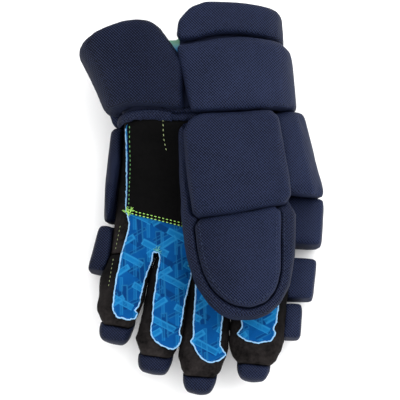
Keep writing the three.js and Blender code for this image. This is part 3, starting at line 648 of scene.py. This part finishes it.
def smooth_path(corners, pitch, closed=False):
    """A curve through corners, as points about a pitch apart. Corners are (x, y) in mm."""
    count = len(corners)
    points = []
    for i in range(count if closed else count - 1):
        if closed:
            near = [corners[(i + k) % count] for k in (-1, 0, 1, 2)]
        else:
            near = [corners[min(max(i + k, 0), count - 1)] for k in (-1, 0, 1, 2)]
        a, b, c, d = (Vector(corner) for corner in near)
        steps = max(1, round((c - b).length / pitch))
        for k in range(steps):
            t = k / steps
            spline = 0.5 * (
                2 * b + (c - a) * t + (2 * a - 5 * b + 4 * c - d) * t**2 + (3 * b - a - 3 * c + d) * t**3
            )
            points.append(b.lerp(c, t).lerp(spline, 0.75))
    return points if closed else [*points, Vector(corners[-1])]


def beside(path, distance):
    """An open path of points moved sideways, to its left."""
    moved = []
    for i, point in enumerate(path):
        along = (path[min(i + 1, len(path) - 1)] - path[max(i - 1, 0)]).normalized()
        moved.append(point + Vector((-along.y, along.x)) * distance)
    return moved


def cut_cloth(name, outline, pitch, carrier, lift, rumple, low_limit):
    """A sheet of an outline in mm, laid over what carries it."""
    flat = [Vector((p.x, p.y)) for p in outline]
    xs = [p.x for p in flat]
    ys = [p.y for p in flat]
    rim = BVHTree.FromPolygons([Vector((p.x, p.y, 0)) for p in flat], [[i, (i + 1) % len(flat), i] for i in range(len(flat))])
    inner = []
    rows = int((max(ys) - min(ys)) / (pitch * 0.866)) + 1
    table = [(p.x, p.y) for p in flat]
    for r in range(rows):
        y = min(ys) + r * pitch * 0.866
        crossings = sorted(
            (b[0] - a[0]) * (y - a[1]) / (b[1] - a[1]) + a[0]
            for a, b in zip(table, table[1:] + table[:1])
            if (a[1] > y) != (b[1] > y)
        )
        for left, right in zip(crossings[::2], crossings[1::2]):
            start = math.ceil((left + 0.6 * pitch) / pitch) * pitch + (r % 2) * pitch / 2
            x = start
            while x < right - 0.6 * pitch:
                point = Vector((x, y, 0))
                if rim.find_nearest(point)[3] > 0.55 * pitch:
                    inner.append(Vector((x, y)))
                x += pitch
    points = flat + inner
    loop = [(i, (i + 1) % len(flat)) for i in range(len(flat))]
    places, _, faces, *_ = geometry.delaunay_2d_cdt(points, loop, [], 1, 1e-5)
    mesh = bpy.data.meshes.new(name)
    mesh.from_pydata([at(p.x, p.y, 0) for p in places], [], faces)
    high = 200 * MM
    heights = []
    for vertex in mesh.vertices:
        hit = carrier.ray_cast(Vector((vertex.co.x, vertex.co.y, high)), Vector((0, 0, -1)))[0]
        heights.append(hit.z if hit is not None and hit.z > low_limit * MM else None)
    neighbours = [[] for _ in heights]
    for edge in mesh.edges:
        a, b = edge.vertices
        neighbours[a].append(b)
        neighbours[b].append(a)
    known = [h for h in heights if h is not None]
    level = [h if h is not None else sum(known) / len(known) for h in heights]
    for _ in range(14):
        level = [0.5 * level[i] + 0.5 * sum(level[j] for j in near) / max(len(near), 1) for i, near in enumerate(neighbours)]
        level = [max(l, h - 0.2 * MM) if h is not None else l for l, h in zip(level, heights)]
    for vertex, z in zip(mesh.vertices, level):
        vertex.co.z = z + (lift + rumple(vertex.co)) * MM
    piece = bpy.data.objects.new(name, mesh)
    scene.collection.objects.link(piece)
    holes = {i for i, h in enumerate(heights) if h is None}
    if holes:
        build = bmesh.new()
        build.from_mesh(mesh)
        build.verts.ensure_lookup_table()
        bmesh.ops.delete(build, geom=[build.verts[i] for i in holes], context="VERTS")
        build.to_mesh(mesh)
        build.free()
    only(piece)
    bpy.ops.object.mode_set(mode="EDIT")
    bpy.ops.mesh.select_all(action="SELECT")
    bpy.ops.mesh.normals_make_consistent(inside=False)
    bpy.ops.object.mode_set(mode="OBJECT")
    if sum(p.normal.z for p in mesh.polygons) < 0:
        mesh.flip_normals()
    return piece


# The printed palm cloth's outline, clockwise from the wrist: the little finger's edge, four strips with slits
# between them, and the edge under the thumb.
PALM_CLOTH_OUTLINE = [
    (-60.4, 57.0), (-60.4, 40.0), (-60.6, 17.0), (-60.9, -6.5), (-58.9, -15.0), (-58.6, -23.0), (-63.2, -39.6),
    (-67.2, -60.0), (-69.6, -77.0), (-70.4, -85.5), (-70.0, -90.5), (-66.2, -94.6), (-62.0, -95.2), (-58.5, -97.0),
    (-53.4, -95.6), (-51.2, -92.0), (-53.0, -89.3), (-50.2, -85.5), (-49.0, -78.5), (-45.6, -63.0), (-40.2, -49.0),
    (-36.6, -42.4), (-34.8, -42.2), (-33.6, -47.0), (-35.8, -62.0), (-38.4, -83.0), (-39.2, -98.0), (-40.2, -104.0),
    (-39.0, -110.0), (-34.5, -115.4), (-27.5, -119.0), (-22.5, -119.9), (-17.6, -116.0), (-16.6, -110.0), (-18.0, -107.0),
    (-15.6, -94.0), (-13.4, -80.0), (-9.6, -64.0), (-7.8, -56.0), (-6.6, -55.6), (-5.2, -62.0), (-5.2, -80.0), (-6.6, -98.0),
    (-6.4, -109.0), (-8.8, -113.6), (-6.0, -117.6), (-3.2, -123.6), (0.5, -127.6), (7.0, -130.4), (13.2, -128.6),
    (18.4, -124.4), (15.4, -119.4), (14.0, -115.0), (15.8, -98.0), (17.6, -80.0), (21.0, -62.0), (24.6, -56.0), (26.4, -56.0),
    (28.4, -64.0), (29.6, -80.0), (31.4, -96.0), (31.6, -103.0), (28.2, -107.4), (32.0, -111.4), (37.0, -114.0),
    (46.0, -115.0), (54.5, -113.0), (57.6, -107.0), (56.2, -104.0), (59.0, -97.0), (60.4, -84.0), (62.5, -60.0), (65.0, -43.0), (60.5, 0.0),
    (54.0, 40.0), (49.0, 57.0), (-18.0, 57.6), (-30.0, 60.5), (-42.0, 61.2), (-53.0, 59.6),
]
PATCH_OUTLINE = [
    (-59.2, 57.2), (-59.3, 40.0), (-59.7, 10.0), (-60.6, -8.4), (-61.2, -9.4), (-52.0, -12.6), (-30.0, -18.4), (-8.0, -24.0),
    (20.0, -27.0), (50.0, -28.0), (54.0, -10.0), (50.0, 30.0), (47.5, 57.2),
    (-18.0, 57.8), (-30.0, 60.7), (-42.0, 61.4), (-53.0, 59.8),
]
STRIP_ENDS = [(-60, -93), (-28, -114), (6, -122), (43, -108)]


def frilled(points, edge, ends):
    """Moves an outline's points sideways: a little all round, more at the cut ends of the strips."""
    moved = []
    count = len(points)
    for i, point in enumerate(points):
        along = (points[(i + 1) % count] - points[i - 1]).normalized()
        side = Vector((along.y, -along.x))
        near = min((point - Vector(end)).length for end in STRIP_ENDS)
        amount = edge + (ends - edge) * max(0.0, 1 - near / 17)
        ripple = noise.noise(Vector((point.x * 0.33, point.y * 0.33, 0.5))) + 0.6 * noise.noise(Vector((point.x * 0.9, point.y * 0.9, 4.0)))
        moved.append(point + side * amount * ripple)
    return moved


def palm_rumple(co):
    """How far the palm cloth stands off the hand, in mm."""
    x, y = (co.x - STEP.x) / MM, (co.y - STEP.y) / MM
    folds = noise.noise(Vector((x * 0.07, y * 0.045, 2.0))) + 0.4 * noise.noise(Vector((x * 0.2, y * 0.14, 5.0)))
    near = min((Vector((x, y)) - Vector(end)).length for end in STRIP_ENDS)
    ruffle = max(0.0, 1 - near / 20) * noise.noise(Vector((x * 0.35, y * 0.35, 9.0)))
    return 0.45 + 0.45 * folds + 1.1 * ruffle


def patch_rumple(co):
    x, y = (co.x - STEP.x) / MM, (co.y - STEP.y) / MM
    return 0.2 + 0.25 * noise.noise(Vector((x * 0.06, y * 0.05, 3.0)))


def strands(name, paths, radius, material, slot, wobble=0.25):
    """Thin uneven tubes along paths of points: a frayed edge, or loose threads."""
    curve = bpy.data.curves.new(name, "CURVE")
    curve.dimensions = "3D"
    curve.bevel_depth = radius * MM
    curve.bevel_resolution = 1
    for path in paths:
        spline = curve.splines.new("POLY")
        spline.points.add(len(path) - 1)
        for point, co in zip(spline.points, path):
            sway = noise.noise_vector(co * 700) * (wobble * MM)
            point.co = (*(co + sway), 1)
            point.radius = 1 + 0.45 * noise.noise(co * 900)
    piece = bpy.data.objects.new(name, curve)
    scene.collection.objects.link(piece)
    only(piece)
    bpy.ops.object.convert(target="MESH")
    finish_piece(piece, material, slot)
    return piece


def loose_threads(name, spots, carrier, count, length, radius, material, slot):
    """Short curled threads at spots given as (x, y) in mm, lying on a surface."""
    paths = []
    for number, spot in enumerate(spots):
        for k in range(count):
            seed = Vector((number * 3.7, k * 1.9, 0.5))
            heading = 2 * math.pi * noise.noise(seed) + k * 2.4
            bend = 3 * noise.noise(seed + Vector((0, 0, 5)))
            reach = length * (0.7 + 0.5 * noise.noise(seed + Vector((0, 0, 9))))
            x = spot[0] + 0.9 * noise.noise(seed + Vector((4, 0, 0)))
            y = spot[1] + 0.9 * noise.noise(seed + Vector((0, 4, 0)))
            path = []
            for step in range(6):
                hit = carrier.ray_cast(at(x, y, 200), Vector((0, 0, -1)))[0]
                if hit is None:
                    break
                path.append(hit + Vector((0, 0, (0.3 + 0.5 * math.sin(step * 0.63)) * MM)))
                x += math.cos(heading + bend * step / 5) * reach / 5
                y += math.sin(heading + bend * step / 5) * reach / 5
            if len(path) > 2:
                paths.append(path)
    return strands(name, paths, radius, material, slot, 0.1)


def stitch_rows(name, rows, carrier, stitch, gap, width, material, slot="black_cloth"):
    """Rows of stitches on a surface. Each row is a path of (x, y) in mm; stitch and gap are lengths in mm."""
    bpy.ops.mesh.primitive_uv_sphere_add(segments=6, ring_count=5, radius=1)
    pattern = bpy.context.object
    only(pattern)
    shape = [v.co.copy() for v in pattern.data.vertices]
    faces = [list(p.vertices) for p in pattern.data.polygons]
    bpy.data.objects.remove(pattern)
    points, polygons = [], []
    number = 0
    for row in rows:
        path = [Vector(p) for p in row]
        lengths = [(b - a).length for a, b in zip(path, path[1:])]
        position = 0.3 * gap
        while position + stitch < sum(lengths):
            middle, left = position + stitch / 2, 0
            for (a, b), length in zip(zip(path, path[1:]), lengths):
                if left + length >= middle:
                    place = a.lerp(b, (middle - left) / length)
                    along = (b - a).normalized()
                    break
                left += length
            number += 1
            jitter = noise.noise(Vector((number * 1.7, 3.1, 0)))
            turn = math.atan2(along.y, along.x) + 0.16 * jitter
            hits = []
            for end in (-0.5, 0.5):
                spot = place + along * (stitch * end)
                hits.append(carrier.ray_cast(at(spot.x, spot.y, 200), Vector((0, 0, -1)))[0])
            if all(hit is not None for hit in hits):
                level = (hits[0].z + hits[1].z) / 2
                slope = (hits[1].z - hits[0].z) / (stitch * MM)
                start = len(points)
                size = 1 + 0.15 * jitter
                for co in shape:
                    along_part = co.x * stitch * 0.5 * size
                    across_part = co.y * width * 0.5
                    x = place.x + math.cos(turn) * along_part - math.sin(turn) * across_part
                    y = place.y + math.sin(turn) * along_part + math.cos(turn) * across_part
                    where = at(x, y, 0)
                    where.z = level + slope * along_part * MM + (co.z * width * 0.4 + width * 0.12) * MM
                    points.append(where)
                polygons += [[start + i for i in face] for face in faces]
            position += stitch + gap
    mesh = bpy.data.meshes.new(name)
    mesh.from_pydata(points, [], polygons)
    piece = bpy.data.objects.new(name, mesh)
    scene.collection.objects.link(piece)
    finish_piece(piece, material, slot)
    return piece


def add_palm():
    sleeves = [bpy.data.objects[name + "_cloth"].data for name in HAND_NODES]
    hand = tree_of([*sleeves, *[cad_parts[name].data for name in HAND_NODES]])
    outline = frilled(smooth_path(PALM_CLOTH_OUTLINE, 1.3, True), 0.35, 1.1)
    face = cut_cloth("palm_cloth", outline, 1.5, hand, 0.5, palm_rumple, 36)
    surface = tree_of([face.data])
    rim = []
    for p in outline:
        hit = surface.find_nearest(at(p.x, p.y, 55))[0]
        top = surface.ray_cast(at(p.x, p.y, 200), Vector((0, 0, -1)))[0]
        rim.append((top or hit) + Vector((0, 0, 0.5 * MM)))
    modify(face, "SOLIDIFY", thickness=0.9 * MM, offset=1.0)
    finish_piece(face, printed, "blue_palm_cloth", "palm_face")
    start = max(range(len(rim)), key=lambda i: rim[i].y)
    shown = [p for p in rim[start:] + rim[:start] if p.y < at(0, 56.0).y]
    strands("palm_cloth_edge", [shown], 0.66, frayed, "blue_palm_cloth")
    under = tree_of([face.data, *sleeves])
    patch_line = smooth_path(PATCH_OUTLINE, 1.6, True)
    patch = cut_cloth("palm_patch_cloth", patch_line, 2.0, under, 0.1, patch_rumple, 36)
    modify(patch, "SOLIDIFY", thickness=1.2 * MM, offset=1.0)
    finish_piece(patch, black_suede, "black_cloth", "palm_patch")
    top = tree_of([face.data, patch.data, *sleeves])
    rows = [
        [(-60.0, -7.2), (-52.0, -10.0), (-30.0, -15.8), (-8.0, -21.4), (16.0, -24.6)],
        [(-60.0, -9.6), (-52.0, -12.4), (-30.0, -18.2), (-8.0, -23.8), (16.0, -27.0)],
    ]
    stitch_rows("patch_stitches", rows, top, 2.1, 1.1, 0.9, lime_thread)
    side = smooth_path([(-57.6, 60.0), (-57.9, 44.0), (-57.6, 28.0), (-58.4, 10.0), (-58.8, -7.0)], 4.0)
    stitch_rows("patch_side_stitches", [side], top, 2.0, 1.4, 0.75, aged_thread)
    short = smooth_path([(-30.8, 59.0), (-30.4, 46.0), (-27.6, 34.0)], 4.0)
    stitch_rows("patch_short_stitches", [short], top, 1.8, 1.5, 0.6, pale_thread)
    corner = [(-61.5, -8.0), (-59.5, -9.0), (-57.5, -8.6)]
    loose_threads("corner_threads", corner, top, 9, 4.5, 0.22, lime_thread, "black_cloth")
    slits = [(-35.6, -41.0), (-7.0, -54.0), (25.5, -54.5)]
    loose_threads("slit_threads", slits, top, 10, 5.5, 0.2, teal_thread, "blue_palm_cloth")
    gusset = [[(-65.6, -19.0), (-68.6, -34.0), (-71.8, -52.0), (-74.4, -70.0)]]
    stitch_rows("gusset_stitches", gusset, top, 1.9, 1.6, 0.6, faded_thread)
    return top


# The edge of the thumb's upper pad, from its top left corner round the tip to its top right corner.
THUMB_PAD_EDGE = [
    (-5.5, -27.0), (-1.8, -51.8), (4.8, -71.9), (15.2, -84.2), (29.9, -91.1), (43.5, -90.2), (54.1, -82.2),
    (59.8, -67.7), (60.4, -45.0), (60.6, -18.0),
]
BINDING_SEAM = [(-64.5, 57.6), (-54.0, 61.0), (-43.0, 62.4), (-32.0, 61.6), (-22.5, 58.6)]


def add_binding_tail(material):
    """The binding runs on under the thumb's guard, along the cuff's lower edge."""
    path = smooth_path([(-32, 61.4), (-25, 60.9), (-16, 60.4), (-4, 61.0), (20, 61.4), (46, 60.6)], 2.0)
    rows = [[at(p.x, p.y + rise, 85.6) for p in path] for rise in (0, 5.4)]
    tail = strands("binding_tail", rows, 3.4, material, "navy_cloth", 0.0)
    # Paints one even level of light and shade into the tail's cloth colour.
    note_facing(tail, 0.32, 0.0)


def add_topstitching(pads):
    """Rows of navy thread on the thumb and the binding."""
    thumb = tree_of([pads[name].data for name in ("thumb_guard", "thumb_base_pad", "thumb_tip_pad")])
    edge = smooth_path(THUMB_PAD_EDGE, 2.0)
    stitch_rows("thumb_stitches", [beside(edge, -3.4), beside(edge, 3.0)], thumb, 2.3, 1.5, 0.7, navy_thread, "navy_cloth")
    binding = tree_of([pads["wrist_binding"].data])
    seam = smooth_path(BINDING_SEAM, 2.0)
    stitch_rows("binding_stitches", [seam, beside(seam, 2.2)], binding, 2.0, 1.3, 0.6, navy_thread, "navy_cloth")


# Build

add_camera()
navy = navy_cloth("navy_woven_nylon")
black_suede = suede("black_suede", (0.0010, 0.0010, 0.0011), (0.0040, 0.0039, 0.0040))
black_knit = sleeve_cloth("black_knit")
printed = printed_cloth("printed_blue_suede")
lining = lining_cloth("knitted_lining")
frayed = thread("frayed_blue_edge", (0.10, 0.27, 0.50), (0.32, 0.54, 0.74))
lime_thread = thread("lime_thread", (0.16, 0.42, 0.04), (0.48, 0.76, 0.22))
aged_thread = thread("aged_thread", (0.03, 0.13, 0.06), (0.16, 0.38, 0.12))
pale_thread = thread("pale_thread", (0.18, 0.26, 0.10), (0.50, 0.58, 0.30))
faded_thread = thread("faded_thread", (0.10, 0.13, 0.05), (0.26, 0.30, 0.16))
teal_thread = thread("teal_thread", (0.03, 0.22, 0.24), (0.16, 0.46, 0.40))
navy_thread = thread("navy_thread", (0.006, 0.009, 0.022), (0.022, 0.030, 0.066))

cushions = add_pads(navy)
add_topstitching(cushions)
add_binding_tail(navy)
for hand_node in HAND_NODES:
    add_sleeve(hand_node, 1.2, black_knit, "black_cloth")
add_sleeve("thumb_sleeve", 1.2, black_knit, "black_cloth")
add_lining()
add_palm()

# Floor and light


def add_floor():
    bpy.ops.mesh.primitive_plane_add(size=6)
    floor = bpy.context.object
    floor.name = "floor"
    floor.data.materials.append(pale_floor())


def add_softbox(name, power, size, place):
    data = bpy.data.lights.new(name, "AREA")
    data.energy = power
    data.shape = "DISK"
    data.size = size
    lamp = bpy.data.objects.new(name, data)
    lamp.location = place
    lamp.rotation_euler = (VIEW_AIM - Vector(place)).to_track_quat("-Z", "Y").to_euler()
    scene.collection.objects.link(lamp)


add_floor()
add_softbox("key_light", 16, 1.5, (0.85, 0.4, 1.6))
add_softbox("fill_light", 2, 1.4, (-0.9, -0.5, 1.5))
scene.world = bpy.data.worlds.new("studio")
scene.world.use_nodes = True
sky = scene.world.node_tree.nodes["Background"]
sky.inputs["Color"].default_value = (1, 1, 1, 1)
sky.inputs["Strength"].default_value = 1.56
scene.view_settings.view_transform = "Standard"
